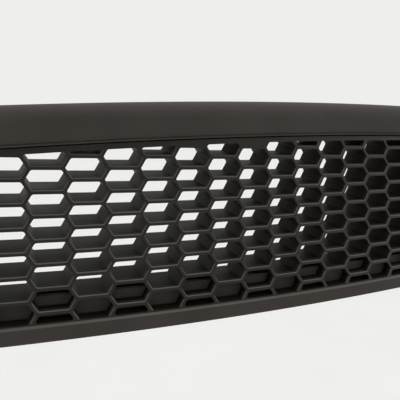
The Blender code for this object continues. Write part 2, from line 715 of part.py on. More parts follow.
def make_nuts(steel, datum):
    """U-nuts pushed over the rear edge of the lip's floor."""
    low = -LIP_WALL - GAP - NUT_SHEET
    high = GAP + NUT_SHEET
    mouth = -NUT_GRIP
    back = GAP + NUT_SHEET
    section = [(mouth, low), (back, low), (back, high), (mouth, high),
               (mouth, high - NUT_SHEET), (GAP, high - NUT_SHEET),
               (GAP, low + NUT_SHEET), (mouth, low + NUT_SHEET)]
    for index, column in enumerate(NUT_COLUMNS, 1):
        middle, along = facet(lip_point, column)
        turn = Matrix.Rotation(math.atan2(along.y, along.x), 4, "Z")
        edge = Matrix.Translation(middle + Vector((0, LIP_FLOOR_DEPTH + RAKE * LIP_WALL, 0)))
        bm = bmesh.new()
        loft(bm, [[(x, y, -z) for y, z in section] for x in (-NUT_WIDTH / 2, NUT_WIDTH / 2)])
        nut = solid(f"u_nut_{index}", bm, steel, datum, edge @ turn)

        cut = bmesh.new()
        rod(cut, NUT_HOLE_R - GAP, -high - OVERRUN, OVERRUN - low, SCREW_SIDES,
            Matrix.Translation((0, -NUT_HOLE_INSET, 0)))
        boolean(nut, solid(f"u_nut_{index}_cut", cut, steel, datum, edge @ turn), "DIFFERENCE")


# ---------------------------------------------------------------- assembly

def make_datum():
    """Empty that carries the grille, so that the centre bracket's pad is at the origin."""
    datum = bpy.data.objects.new("datum", None)
    bpy.context.collection.objects.link(datum)
    datum.location = -pad_point(0)
    return datum


def main():
    clear_scene()
    black = plastic("black_abs", (0.030, 0.029, 0.028), 0.45)
    steel = plastic("zinc_steel", (0.55, 0.56, 0.57), 0.35, 1.0)
    nylon = plastic("black_nylon", (0.02, 0.02, 0.02), 0.5)
    foam = plastic("grey_foam", (0.06, 0.06, 0.065), 0.95)
    datum = make_datum()
    make_insert(black, datum)
    make_rail(black, datum)
    make_lip(black, datum)
    make_channel(black, datum)
    make_cheek(-1, "end_cheek_left", black, datum)
    make_cheek(1, "end_cheek_right", black, datum)
    for index, column in enumerate(BRACKET_COLUMNS, 1):
        make_bracket(index, column, steel, datum)
        make_retainer(index, column, nylon, datum)
        make_pin(index, column, nylon, datum)
    make_foam(foam, datum)
    make_rail_screws(steel, datum)
    make_bracket_screws(steel, datum)
    make_lip_screws(steel, datum)
    make_end_screws(steel, datum)
    make_nuts(steel, datum)


main()
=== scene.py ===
"""Detailed look of a car's front grille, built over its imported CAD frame.

Metres.  +X runs across the car, +Y points to the rear, +Z is up.
"""

import json
import math

import bmesh
import bpy
from mathutils import Matrix, Vector
from mathutils.geometry import tessellate_polygon


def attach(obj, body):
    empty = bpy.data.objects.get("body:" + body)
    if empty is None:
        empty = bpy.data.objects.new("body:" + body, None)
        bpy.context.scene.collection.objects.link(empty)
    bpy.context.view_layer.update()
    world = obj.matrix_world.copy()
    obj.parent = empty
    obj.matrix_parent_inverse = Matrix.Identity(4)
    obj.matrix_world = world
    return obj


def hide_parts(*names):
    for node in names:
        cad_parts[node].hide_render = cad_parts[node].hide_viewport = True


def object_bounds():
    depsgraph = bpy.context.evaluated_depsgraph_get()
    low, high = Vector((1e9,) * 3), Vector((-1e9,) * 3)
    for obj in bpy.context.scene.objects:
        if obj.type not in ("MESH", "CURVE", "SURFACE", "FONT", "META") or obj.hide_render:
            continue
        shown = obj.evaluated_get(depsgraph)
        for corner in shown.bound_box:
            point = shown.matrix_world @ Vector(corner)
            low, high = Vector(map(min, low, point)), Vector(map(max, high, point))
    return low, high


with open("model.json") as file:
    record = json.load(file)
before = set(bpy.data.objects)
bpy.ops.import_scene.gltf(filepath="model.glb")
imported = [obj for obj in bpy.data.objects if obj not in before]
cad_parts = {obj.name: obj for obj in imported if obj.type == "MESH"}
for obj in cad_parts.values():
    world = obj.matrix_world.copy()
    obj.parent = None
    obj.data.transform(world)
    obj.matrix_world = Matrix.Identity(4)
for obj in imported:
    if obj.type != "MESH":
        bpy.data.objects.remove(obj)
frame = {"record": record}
cad_low, cad_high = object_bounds()

MM = 0.001
GAP = 0.3 * MM

# The face of the grille, and its honeycomb
PLAN_RADIUS = 1.852
RAKE = 0.2561                   # metres back for each metre up
ARCH_RADIUS = 3.214
ARCH_CROWN_Z = 20.4 * MM
COLUMN_PITCH = 19.65 * MM
ROW_PITCH = 12.0 * MM
SLANT_RUN = 3.8 * MM
CELL_WALL = 2.25 * MM
CELL_DEPTH = 19.0 * MM
SIDE_COLUMNS = 20
END_STRIP = 8.0 * MM
TOP_STRIP = 3.1 * MM
TOP_CHAMFER = 0.5 * MM
FOOT = 0.4 * MM                 # strip left under the lowest openings
SMALLEST_OPENING = 1.6 * MM
WELD = 0.002 * MM
ON_BORDER = 0.015 * MM          # a clipped corner this near a border lies on it
CELL_CORNER_R = 0.9 * MM
CELL_CORNER_STEPS = 3
RIM_CHAMFER = 0.5 * MM          # bevel round the front of every opening
RIM_STEP = 0.16 * MM            # small ledge behind it
RIM_STEP_DEPTH = 1.7 * MM
EDGE_FACING = 0.3               # least forward lean of a surface that gets its own copy of the plastic, painted lighter as painted light
UPPER_RIM = 0.15                # share of bevel and ledge on an opening's upper sides
REAR_CHAMFER = 0.2 * MM
INSERT_FLOOR = 2.6 * MM
FLANGE_WALL = 2.4 * MM
UPPER_FLANGE_SETBACK = 6.0 * MM
UPPER_FLANGE_HEIGHT = 12.0 * MM
LOWER_FLANGE_SETBACK = 3.2 * MM
FLANGE_LAP = 0.6 * MM           # how far a flange runs into the honeycomb's border

# Upper rail: (y, z) offsets from the line where it meets the insert
RAIL_WALL = 2.4 * MM
RAIL_EDGE = (0.2 * MM, 0.9 * MM)
RAIL_NOSE_LOW = (-7.2 * MM, 8.0 * MM)
RAIL_NOSE_HIGH = (-3.4 * MM, 20.9 * MM)
RAIL_CREST = (9.0 * MM, 20.9 * MM)
RAIL_BACK = ((12.6 * MM, 20.9 * MM), (14.4 * MM, 18.4 * MM), (15.2 * MM, 15.4 * MM))
RAIL_SHELF = (16.0 * MM, 13.0 * MM)
RAIL_SHELF_END = 38.0 * MM
NOSE_STEPS = 36
NOSE_SKIP = 3                   # first points of the nose, which the rolled edge replaces
BEAD = (-0.95 * MM, 1.42 * MM)  # centre of the rolled edge
BEAD_R = 0.62 * MM
BEAD_CREASE = (-0.85 * MM, 2.25 * MM)
RAIL_BACK_STEPS = 10
BEAD_START = 270                # degrees, and the turn to each next point
BEAD_TURN = -25
BEAD_STEPS = 7
BEAD_INNER = (0.6 * MM, 0.8 * MM)
SHELF_CORNER = 2.0 * MM

# Lower lip and the channel behind the lowest rows
LIP_TOP_Z = -77.6 * MM
LIP_BOTTOM_Z = LIP_TOP_Z - 8.8 * MM
LIP_WALL = 2.1 * MM
LIP_PROUD = 0.8 * MM
LIP_BEVEL = 1.2 * MM
LIP_FRONT_BACK = 2.8 * MM
LIP_FLOOR_DEPTH = 34.0 * MM
CHANNEL_WALL = 2.0 * MM
CHANNEL_FRONT = 6.2 * MM
CHANNEL_REAR = CELL_DEPTH + GAP + CHANNEL_WALL
CHANNEL_FRONT_TOP_Z = LIP_TOP_Z + 11.7 * MM
CHANNEL_REAR_TOP_Z = LIP_TOP_Z + 12.4 * MM
LIP_SCREW_Y = (CHANNEL_FRONT + CHANNEL_REAR) / 2 + RAKE * (LIP_WALL + CHANNEL_WALL)

# End cheeks
CHEEK_WALL = 2.5 * MM
CHEEK_BEVEL = 0.3 * MM
CHEEK_SKIP = 3                  # every third point of the rail's outline is enough for a cheek
TAB_WIDTH = 20.0 * MM
TAB_SHARE = 0.556
TAB_BOTTOM_Z = LIP_TOP_Z + 11.6 * MM
TAB_SLOT_WIDTH = 6.5 * MM
TAB_SLOT_LENGTH = 13.0 * MM
GUSSET_SHARES = (0.2, 0.8)      # places of the two ribs behind a tab, from its bottom to its top
GUSSET_WALL = 1.5 * MM

# Brackets, retainers, foam, nuts, screws
BRACKET_COLUMNS = (-16, -8, 0, 8, 16)
BRACKET_WIDTH = 30.0 * MM
BRACKET_DEPTH = 47.0 * MM
BRACKET_SHEET = 1.6 * MM
BRACKET_CORNER = 7.0 * MM
BRACKET_BEND = 2.2 * MM
BRACKET_BEVEL = 0.15 * MM
JOGGLE_DROP = 3.0 * MM
JOGGLE_RUN = 4.0 * MM
BRACKET_SCREW_SPREAD = 9.0 * MM
BRACKET_SCREW_INSET = 5.5 * MM
PAD_INSET = 25.0 * MM
RETAINER_INSET = 36.0 * MM
NECK_R = 3.9 * MM
COLLAR_R = 8.0 * MM
COLLAR = 1.8 * MM
LEG = 17.0 * MM
PIN_R = 1.9 * MM
PIN_HEAD_R = 5.0 * MM
PIN_HEAD = 1.3 * MM
PIN_TIP = 1.5 * MM
FOAM_FRONT = 17.6 * MM
FOAM_WIDTH = 5.6 * MM
FOAM_HEIGHT = 3.0 * MM
FOAM_END_MARGIN = 10.0 * MM
NUT_COLUMNS = (-16, -8, 8, 16)
NUT_SHEET = 0.9 * MM
NUT_WIDTH = 14.0 * MM
NUT_GRIP = 10.5 * MM
NUT_HOLE_R = 2.6 * MM
NUT_HOLE_INSET = 6.0 * MM
NUT_COLLAR_WALL = 0.9 * MM
NUT_COLLAR_HEIGHT = 2.4 * MM
NUT_BEND = 1.1 * MM
NUT_BEVEL = 0.12 * MM
SCREW_COLUMNS = (-19, -12, -4, 4, 12, 19)
SCREW_R = 1.5 * MM
SCREW_HEAD_R = 3.8 * MM
SCREW_HEAD = 2.0 * MM
SCREW_SPIN = 0.7                # radians from one screw's recess to the next
THREAD_PITCH = 1.0 * MM
SCREW_LENGTH = 7.6 * MM
RAIL_SCREW_LENGTH = 6.8 * MM
LIP_SCREW_LENGTH = LIP_WALL + GAP + CHANNEL_WALL + 1.4 * MM
RAIL_SCREW_Z = 6.6 * MM
CLEARANCE_R = SCREW_R + 0.6 * MM
PILOT_R = SCREW_R + GAP
BOSS_R = 3.6 * MM
BOSS_ROOT = -1.6 * MM
BOSS_FLOOR = 1.0 * MM
END_SCREW_SHARES = (0.17, 0.65)
OVERRUN = 2.0 * MM
ROUND_SIDES = 32
SCREW_SIDES = 24
BOW_STEPS = 84
FACET_COLUMNS = 4
MOST_OF_A_SIDE = 0.45           # how much of a side the rounding of one corner may take
SLIVER_SIDES = 4                # most sides of a leftover gap that is closed


# ---------------------------------------------------------------- where things lie

def bow(x):
    return x * x / (2 * PLAN_RADIUS)


def face_y(x, z):
    return bow(x) + RAKE * z


def arc_to_x(arc):
    """Distance across the car of a point at an arc length along the bow."""
    return arc - arc ** 3 / (6 * PLAN_RADIUS ** 2)


def parting_z(x):
    return ARCH_CROWN_Z - x * x / (2 * ARCH_RADIUS)


def parting_point(x):
    z = parting_z(x)
    return Vector((x, face_y(x, z), z))


def lip_point(x):
    return Vector((x, face_y(x, LIP_BOTTOM_Z), LIP_BOTTOM_Z))


def face_point(arc, z, depth):
    """Point that lies depth behind the face, at an arc length and a height."""
    x = arc_to_x(arc)
    return Vector((x, face_y(x, z) + depth, z))


END_ARC = SIDE_COLUMNS * COLUMN_PITCH + (COLUMN_PITCH + SLANT_RUN) / 2 + END_STRIP
END_X = arc_to_x(END_ARC)
END_TOP_Z = parting_z(END_X)
END_SCREW_Z = [END_TOP_Z + share * (LIP_TOP_Z - END_TOP_Z) for share in END_SCREW_SHARES]
TAB_HEIGHT = TAB_SHARE * (END_TOP_Z - LIP_TOP_Z)
BRACKET_SKEW = BRACKET_WIDTH / 2 * arc_to_x(BRACKET_COLUMNS[-1] * COLUMN_PITCH) / PLAN_RADIUS
BRACKET_FRONT = FOAM_FRONT + FOAM_WIDTH + BRACKET_SKEW + 4 * GAP


def facet(line, column):
    """Point and direction of the CAD's straight facet of a bowed line, at a column."""
    x = arc_to_x(column * COLUMN_PITCH)
    cuts = [(i + 0.5) * FACET_COLUMNS * COLUMN_PITCH for i in range(SIDE_COLUMNS // FACET_COLUMNS + 1)]
    right = [arc_to_x(arc) for arc in cuts if arc_to_x(arc) < END_X - COLUMN_PITCH / 2]
    cuts = [-END_X] + [-x for x in reversed(right)] + right + [END_X]
    last = next(i for i in range(1, len(cuts)) if x <= cuts[i])
    start = line(cuts[last - 1])
    end = line(cuts[last])
    return start.lerp(end, (x - start.x) / (end.x - start.x)), (end - start).normalized()


def shelf_placing(column, y):
    """Local Z stands square on the rail's shelf, y behind the parting line."""
    middle, along = facet(parting_point, column)
    offset = Vector((0, y, RAIL_SHELF[1]))
    return Matrix.Translation(middle + offset) @ Matrix.Rotation(-math.atan2(along.z, along.x), 4, "Y")


def rail_screw_placing(column):
    """Local Z points out of the back of the rail; zero is on the parting line."""
    middle, along = facet(parting_point, column)
    height = Vector((0, 0, RAIL_SCREW_Z))
    return (Matrix.Translation(middle + height) @ Matrix.Rotation(math.atan2(along.y, along.x), 4, "Z")
            @ Matrix.Rotation(-math.pi / 2, 4, "X"))


def floor_placing(column, y):
    """Local Z points down out of the lip's floor; zero is on its underside."""
    middle, _ = facet(lip_point, column)
    return Matrix.Translation(middle + Vector((0, y, 0))) @ Matrix.Rotation(math.pi, 4, "X")


def end_screw_placing(side, z):
    """Local Z points out of an end of the insert."""
    y = face_y(END_X, z) + (CHANNEL_FRONT + CELL_DEPTH) / 2
    return Matrix.Translation((side * END_X, y, z)) @ Matrix.Rotation(side * math.pi / 2, 4, "Y")


def frame_shift():
    """Moves the sizes above, centred on the face, to the frame's origin at the centre pad."""
    pad = next(m for m in frame["record"]["mounts"] if m["name"] == "centre_bracket_pad")
    lowest = shelf_placing(0, BRACKET_FRONT + PAD_INSET) @ Vector((0, 0, GAP - JOGGLE_DROP))
    return Matrix.Translation(Vector(pad["pos_m"]) - lowest)


SHIFT = frame_shift()


# ---------------------------------------------------------------- outlines

def clip(outline, keep):
    """Part of a flat outline where the function keep isn't negative."""
    kept = []
    for a, b in zip(outline, outline[1:] + outline[:1]):
        value_a = keep(a)
        value_b = keep(b)
        if value_a >= 0:
            kept.append(a)
        if value_a * value_b < 0:
            t = value_a / (value_a - value_b)
            kept.append((a[0] + (b[0] - a[0]) * t, a[1] + (b[1] - a[1]) * t))
    return kept


def grow(outline, distance, share=None):
    """Convex outline with every side moved out by a distance, or by its own share of it."""
    corners = [Vector(point) for point in outline]
    middle = sum(corners, Vector((0, 0))) / len(corners)
    lines = []
    for a, b in zip(corners, corners[1:] + corners[:1]):
        along = (b - a).normalized()
        out = Vector((along.y, -along.x))
        if out.dot(a - middle) < 0:
            out.negate()
        reach = distance * share(a, b, out) if share else distance
        lines.append((a + out * reach, along))
    moved = []
    for (p, u), (q, v) in zip(lines[-1:] + lines[:-1], lines):
        t = ((q.x - p.x) * v.y - (q.y - p.y) * v.x) / (u.x * v.y - u.y * v.x)
        moved.append(p + u * t)
    return moved


def rounded(outline, radii, steps):
    """Closed outline with its corners rounded off; radii is one value or one for each corner."""
    corners = [Vector(point) for point in outline]
    if not isinstance(radii, (list, tuple)):
        radii = [radii] * len(corners)
    points = []
    for before, corner, after, radius in zip(corners[-1:] + corners[:-1], corners,
                                             corners[1:] + corners[:1], radii):
        to_before = before - corner
        to_after = after - corner
        half = to_before.angle(to_after) / 2
        room = MOST_OF_A_SIDE * min(to_before.length, to_after.length)
        cut = min(radius / math.tan(half), room)
        start = corner + to_before.normalized() * cut
        end = corner + to_after.normalized() * cut
        for i in range(steps + 1):
            t = i / steps
            points.append(start * (1 - t) ** 2 + corner * 2 * t * (1 - t) + end * t * t)
    return points


def filleted(path, radius, steps=5):
    """Open path with its inner corners rounded off."""
    whole = rounded(path, radius, steps)
    return [Vector(path[0])] + whole[steps + 1:-steps - 1] + [Vector(path[-1])]


def bezier(start, pull_out, pull_in, end, steps):
    points = []
    for i in range(steps + 1):
        t = i / steps
        s = 1 - t
        points.append(tuple(s ** 3 * a + 3 * s * s * t * b + 3 * s * t * t * c + t ** 3 * d
                            for a, b, c, d in zip(start, pull_out, pull_in, end)))
    return points


def offset_path(path, wall):
    """The same open (y, z) path, moved by a wall's thickness to its right-hand side."""
    points = [Vector(point) for point in path]
    runs = [(b - a).normalized() for a, b in zip(points, points[1:])]
    moved = []
    for i, point in enumerate(points):
        before = runs[max(i - 1, 0)]
        after = runs[min(i, len(runs) - 1)]
        side_before = Vector((before.y, -before.x))
        side_after = Vector((after.y, -after.x))
        mitre = (side_before + side_after).normalized()
        moved.append(point + mitre * (wall / mitre.dot(side_after)))
    return moved


# ---------------------------------------------------------------- solids

def loft(bm, loops):
    """Closed solid through loops of equally many points, with flat ends."""
    rings = [[bm.verts.new(point) for point in loop] for loop in loops]
    count = len(rings[0])
    for near, far in zip(rings, rings[1:]):
        for i in range(count):
            j = (i + 1) % count
            bm.faces.new((near[i], near[j], far[j], far[i]))
    bm.faces.new(rings[0][::-1])
    bm.faces.new(rings[-1])
    return bm


def turned(bm, profile, sides=ROUND_SIDES, placing=Matrix(), ring=False):
    """Solid of revolution about Z from (radius, z) points; with ring, the profile closes on itself."""
    rings = []
    for radius, z in profile:
        count = 1 if radius == 0 else sides
        angles = [2 * math.pi * i / sides for i in range(count)]
        rings.append([bm.verts.new(placing @ Vector((radius * math.cos(a), radius * math.sin(a), z)))
                      for a in angles])
    for near, far in zip(rings, rings[1:] + (rings[:1] if ring else [])):
        for i in range(sides):
            j = (i + 1) % sides
            corners = [near[i % len(near)], near[j % len(near)], far[j % len(far)], far[i % len(far)]]
            bm.faces.new(list(dict.fromkeys(corners)))
    return bm


def rod(bm, radius, start, end, placing=Matrix(), sides=ROUND_SIDES):
    return turned(bm, [(0, start), (radius, start), (radius, end), (0, end)], sides, placing)


def cross_tool(reach_top, reach_bottom, half_width, top, bottom, turn=0.0):
    """Plus-shaped cutter that narrows downwards."""
    loops = []
    for reach, z in ((reach_top, top), (reach_bottom, bottom)):
        loop = []
        for quarter in range(4):
            spin = Matrix.Rotation(turn + quarter * math.pi / 2, 4, "Z")
            for x, y in ((half_width, -half_width), (reach, -half_width), (reach, half_width)):
                loop.append(spin @ Vector((x, y, z)))
        loops.append(loop)
    return loft(bmesh.new(), loops)


def mesh_of(name, bm, sharp=30):
    """Clean mesh from a bmesh: faces out, smooth except across sharp edges."""
    bmesh.ops.remove_doubles(bm, verts=bm.verts, dist=WELD)
    bmesh.ops.recalc_face_normals(bm, faces=bm.faces)
    mesh = bpy.data.meshes.new(name)
    bm.to_mesh(mesh)
    bm.free()
    mesh.shade_smooth()
    mesh.set_sharp_from_angle(angle=math.radians(sharp))
    return mesh


def worked(name, bm, joins=(), cuts=None, keep=None, bevel=0.0, sharp=30):
    """Mesh of a bmesh after solids are joined on or cut out, and its edges eased."""
    helpers = []

    def helper(source):
        obj = bpy.data.objects.new(name, mesh_of(name, source))
        bpy.context.collection.objects.link(obj)
        helpers.append(obj)
        return obj

    target = helper(bm)
    unions = [(join, "UNION") for join in joins]
    for tool, operation in [(keep, "INTERSECT"), *unions, (cuts, "DIFFERENCE")]:
        if tool is not None:
            modifier = target.modifiers.new(operation, "BOOLEAN")
            modifier.operation = operation
            modifier.solver = "EXACT"
            modifier.object = helper(tool)
    if bevel:
        modifier = target.modifiers.new("bevel", "BEVEL")
        modifier.width = bevel
        modifier.segments = 2
        modifier.limit_method = "ANGLE"
        modifier.angle_limit = math.radians(sharp)
    graph = bpy.context.evaluated_depsgraph_get()
    mesh = bpy.data.meshes.new_from_object(target.evaluated_get(graph))
    mesh.name = name
    mesh.materials.clear()
    mesh.shade_smooth()
    mesh.set_sharp_from_angle(angle=math.radians(sharp))
    for obj in helpers:
        bpy.data.objects.remove(obj, do_unlink=True)
    return mesh


def piece(node, mesh, material, placing=Matrix(), body="grille"):
    """Show a mesh in place of a CAD node, riding on its body."""
    if not mesh.materials:
        mesh.materials.append(material)
    obj = bpy.data.objects.new("detailed_" + node, mesh)
    bpy.context.collection.objects.link(obj)
    obj.matrix_world = SHIFT @ placing
    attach(obj, body)
    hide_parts(node)


def smooth_stations(end_x=END_X):
    return [end_x * (2 * i / BOW_STEPS - 1) for i in range(BOW_STEPS + 1)]


def raked_loop(x, section):
    """Section given as (distance behind the face, absolute height)."""
    return [(x, face_y(x, z) + y, z) for y, z in section]


def rail_loop(x, section):
    """Section given as offsets from the parting line."""
    base = parting_point(x)
    return [(x, base.y + y, base.z + z) for y, z in section]


# ---------------------------------------------------------------- finishes

# Widths of patterns, in millimetres
FLOW_SIZE = 38.0
DUST_SIZE = 0.9
CLOUD_SIZE = 6.0
LINE_WIDTH = 1 / 6
LINE_LENGTH = 4.0
NYLON_FLOW_SIZE = 5.0
NYLON_GRAIN = 0.4
FOAM_CELL = 0.526
PAPER_TONE_SIZE = 400.0


def linear(code):
    """Linear colour of an sRGB hex code."""
    values = [int(code[i:i + 2], 16) / 255 for i in (0, 2, 4)]
    return [v / 12.92 if v <= 0.04045 else ((v + 0.055) / 1.055) ** 2.4 for v in values] + [1.0]


def add_node(tree, kind, values=None, **settings):
    """New shader node with its settings; its inputs get values, or links from nodes and sockets."""
    node = tree.nodes.new("ShaderNode" + kind)
    for key, value in settings.items():
        setattr(node, key, value)
    for key, value in (values or {}).items():
        if isinstance(value, bpy.types.Node):
            value = value.outputs[0]
        if isinstance(value, bpy.types.NodeSocket):
            tree.links.new(value, node.inputs[key])
        else:
            node.inputs[key].default_value = value
    return node


def start_material(name, values):
    """Material with one Principled shader, and object coordinates in millimetres."""
    material = bpy.data.materials.new(name)
    material.use_nodes = True
    tree = material.node_tree
    shader = tree.nodes["Principled BSDF"]
    for key, value in values.items():
        shader.inputs[key].default_value = value
    coordinates = add_node(tree, "TexCoord")
    millimetres = add_node(tree, "VectorMath", {0: coordinates.outputs["Object"], 3: 1 / MM},
                           operation="SCALE")
    return material, tree, shader, millimetres


def blend(tree, pattern, low, high, first, second):
    """Two colours, the first where a pattern is below low and the second where it is above high."""
    share = add_node(tree, "MapRange", {"Value": pattern, "From Min": low, "From Max": high})
    mixed = add_node(tree, "Mix", {0: share, 6: first, 7: second}, data_type="RGBA")
    return mixed.outputs[2]


def cover(tree, shader, colour, relief=None, depth=0.0, gloss=None, rough=None):
    """Link a colour, a relief so many metres deep, and a roughness that follows a gloss pattern."""
    tree.links.new(colour, shader.inputs["Base Color"])
    if relief:
        bump = add_node(tree, "Bump", {"Height": relief, "Distance": depth})
        tree.links.new(bump.outputs[0], shader.inputs["Normal"])
    if gloss:
        roughness = add_node(tree, "MapRange", {"Value": gloss, "From Min": 0.3, "From Max": 0.7,
                                                "To Min": rough[0], "To Max": rough[1]})
        tree.links.new(roughness.outputs[0], shader.inputs["Roughness"])


def moulded_abs(name, dark, light, rough, specular, grain):
    """Injection-moulded ABS: near black, with a spark-eroded grain that breaks up the sheen, slow
    changes of gloss from the melt's flow, and a little dust.  The real grain is about 0.1 mm
    across; it is drawn two to four times as coarse, so that a close view shows it."""
    material, tree, shader, place = start_material(name, {"Specular IOR Level": specular,
                                                          "Specular Tint": linear("f4ebe1")})
    flow = add_node(tree, "TexNoise", {"Vector": place, "Scale": 1 / FLOW_SIZE})
    eroded = add_node(tree, "TexNoise", {"Vector": place, "Scale": 1 / grain, "Detail": 3.0})
    dust = add_node(tree, "TexNoise", {"Vector": place, "Scale": 1 / DUST_SIZE, "Detail": 4.0})
    plastic = blend(tree, flow, 0.35, 0.65, linear(dark), linear(light))
    dusty = blend(tree, dust, 0.73, 0.80, plastic, linear("6b6966"))
    cover(tree, shader, dusty, eroded, 0.02 * MM, flow, (rough - 0.05, rough + 0.05))
    return material


def zinc_steel():
    """Zinc-plated pressed steel: cool grey metal with cloudy passivation and fine rolling lines."""
    material, tree, shader, place = start_material("zinc_plated_steel", {"Metallic": 1.0})
    cloud = add_node(tree, "TexNoise", {"Vector": place, "Scale": 1 / CLOUD_SIZE})
    lines_to_mm = (1 / LINE_WIDTH, 1 / LINE_LENGTH, 1 / LINE_WIDTH)
    stretched = add_node(tree, "VectorMath", {0: place, 1: lines_to_mm}, operation="MULTIPLY")
    rolled = add_node(tree, "TexNoise", {"Vector": stretched, "Scale": 1.0})
    zinc = blend(tree, cloud, 0.3, 0.7, linear("8d9093"), linear("b4b6b4"))
    cover(tree, shader, zinc, rolled, 0.01 * MM, cloud, (0.28, 0.46))
    return material


def moulded_nylon():
    """Moulded nylon: black, a little waxy, smoother than the grille."""
    material, tree, shader, place = start_material("moulded_nylon", {"Specular IOR Level": 0.5})
    flow = add_node(tree, "TexNoise", {"Vector": place, "Scale": 1 / NYLON_FLOW_SIZE})
    grain = add_node(tree, "TexNoise", {"Vector": place, "Scale": 1 / NYLON_GRAIN})
    nylon = blend(tree, flow, 0.3, 0.7, linear("161617"), linear("232324"))
    cover(tree, shader, nylon, grain, 0.01 * MM, flow, (0.34, 0.5))
    return material


def open_cell_foam():
    """Open-cell polyurethane foam: dull dark grey, pitted by cells about half a millimetre wide, with
    painted shade in the pits.
    """
    material, tree, shader, place = start_material("open_cell_foam", {"Roughness": 0.95,
                                                                      "Specular IOR Level": 0.15})
    cells = add_node(tree, "TexVoronoi", {"Vector": place, "Scale": 1 / FOAM_CELL})
    # The pits are painted darker than the struts between them: painted shade in the hollows.
    foam = blend(tree, cells, 0.05, 0.6, linear("202022"), linear("46464a"))
    cover(tree, shader, foam, cells, 0.25 * MM)
    return material


def studio_paper():
    """Plain pale paper under the grille, with a barely visible change of tone."""
    material, tree, shader, place = start_material("studio_paper", {"Roughness": 1.0,
                                                                    "Specular IOR Level": 0.0})
    tone = add_node(tree, "TexNoise", {"Vector": place, "Scale": 1 / PAPER_TONE_SIZE})
    cover(tree, shader, blend(tree, tone, 0.2, 0.8, linear("f9f9f8"), linear("fcfcfb")))
    return material


# ---------------------------------------------------------------- honeycomb insert

FACE_BOTTOM_Z = LIP_TOP_Z + GAP


# Distance inside each border of the face, of an (arc, height) point

def before_right_end(point):
    return END_ARC - point[0]


def after_left_end(point):
    return END_ARC + point[0]


def under_top(point):
    return parting_z(arc_to_x(point[0])) - TOP_CHAMFER - point[1]


def over_bottom(point):
    return point[1] - FACE_BOTTOM_Z


BORDERS = (before_right_end, after_left_end, under_top, over_bottom)


def cell_outline(column, row):
    """Hexagon of the honeycomb up to the middle of its walls: (arc, height) points."""
    arc = column * COLUMN_PITCH
    z = -row * ROW_PITCH
    tip = (COLUMN_PITCH + SLANT_RUN) / 2
    shoulder = (COLUMN_PITCH - SLANT_RUN) / 2
    half = ROW_PITCH / 2
    return [(arc - tip, z), (arc - shoulder, z + half), (arc + shoulder, z + half),
            (arc + tip, z), (arc + shoulder, z - half), (arc - shoulder, z - half)]


def opening_outline(cell):
    """Opening inside a cell, trimmed by the border strips; empty where it would be too small."""
    outline = [tuple(point) for point in grow(cell, -CELL_WALL / 2)]
    outline = clip(outline, lambda p: under_top(p) - TOP_STRIP + TOP_CHAMFER)
    outline = clip(outline, lambda p: over_bottom(p) - FOOT)
    if len(outline) < 3:
        return []
    heights = [z for _, z in outline]
    if max(heights) - min(heights) < SMALLEST_OPENING:
        return []
    ends = zip(outline, outline[1:] + outline[:1])
    return [a for a, b in ends if math.dist(a, b) > GAP]


def rim_share(a, b, out):
    """Full bevel and ledge on the sides that face up, little on the others, none on the foot."""
    foot_z = FACE_BOTTOM_Z + FOOT
    if max(abs(a.y - foot_z), abs(b.y - foot_z)) < GAP / 10:
        return 0.0
    return 1.0 if out.y < 0 else UPPER_RIM


def add_face(bm, outer, inner):
    """Fill the flat of a cell between its border and its opening."""
    loops = [[Vector((*point, 0)) for point in loop] for loop in (outer[0], inner[0]) if loop]
    verts = outer[1] + inner[1]
    for triangle in tessellate_polygon(loops):
        if len(set(triangle)) == 3:
            bm.faces.new([verts[i] for i in triangle])


def add_ring(bm, outline, depth):
    return [bm.verts.new(face_point(arc, z, depth)) for arc, z in outline]


def bridge(bm, near, far):
    for i in range(len(near)):
        j = (i + 1) % len(near)
        bm.faces.new((near[i], near[j], far[j], far[i]))


def add_cell(bm, column, row):
    """One cell of the insert: half walls, the stepped and bevelled opening, and outer sides."""
    cell = cell_outline(column, row)
    border = cell
    for keep in BORDERS:
        border = clip(border, keep)
    if len(border) < 3:
        return
    opening = opening_outline(cell) if abs(column) <= SIDE_COLUMNS else []
    outer_front = add_ring(bm, border, 0)
    outer_back = add_ring(bm, border, CELL_DEPTH)
    front_loop = back_loop = []
    front = back = []
    if opening:
        steps = ((0, RIM_STEP + RIM_CHAMFER), (RIM_CHAMFER, RIM_STEP), (RIM_STEP_DEPTH, RIM_STEP),
                 (RIM_STEP_DEPTH, 0), (CELL_DEPTH - REAR_CHAMFER, 0), (CELL_DEPTH, REAR_CHAMFER))
        grown = [grow(opening, out, rim_share) for _, out in steps]
        loops = [[tuple(p) for p in rounded(outline, CELL_CORNER_R + out, CELL_CORNER_STEPS)]
                 for outline, (_, out) in zip(grown, steps)]
        rings = [add_ring(bm, loop, depth) for loop, (depth, _) in zip(loops, steps)]
        for near, far in zip(rings, rings[1:]):
            bridge(bm, near, far)
        front_loop, back_loop = loops[0], loops[-1]
        front, back = rings[0], rings[-1]
    add_face(bm, (border, outer_front), (front_loop, front))
    add_face(bm, (border, outer_back), (back_loop, back))
    for i, a in enumerate(border):
        j = (i + 1) % len(border)
        b = border[j]
        sides = [keep for keep in BORDERS if abs(keep(a)) < ON_BORDER and abs(keep(b)) < ON_BORDER]
        if not sides:
            continue
        near = [outer_front[i], outer_front[j]]
        if sides[0] is under_top:
            for depth in (TOP_CHAMFER, CELL_DEPTH):
                far = add_ring(bm, [(p[0], p[1] + TOP_CHAMFER) for p in (a, b)], depth)
                bm.faces.new((near[0], near[1], far[1], far[0]))
                near = far
        bm.faces.new((near[0], near[1], outer_back[j], outer_back[i]))


def finish_and_paint_front(mesh, plastic, finishes):
    """Give the forward-facing surfaces that a rule picks by height and depth their own material: lighter
    copies of the plastic, painted light and painted highlights.
    """
    mesh.materials.append(plastic)
    for slot, (finish, chosen) in enumerate(finishes, 1):
        mesh.materials.append(finish)
        for face in mesh.polygons:
            depth = face.center.y - face_y(face.center.x, face.center.z)
            if -face.normal.y > EDGE_FACING and chosen(face.center.z, depth):
                face.material_index = slot


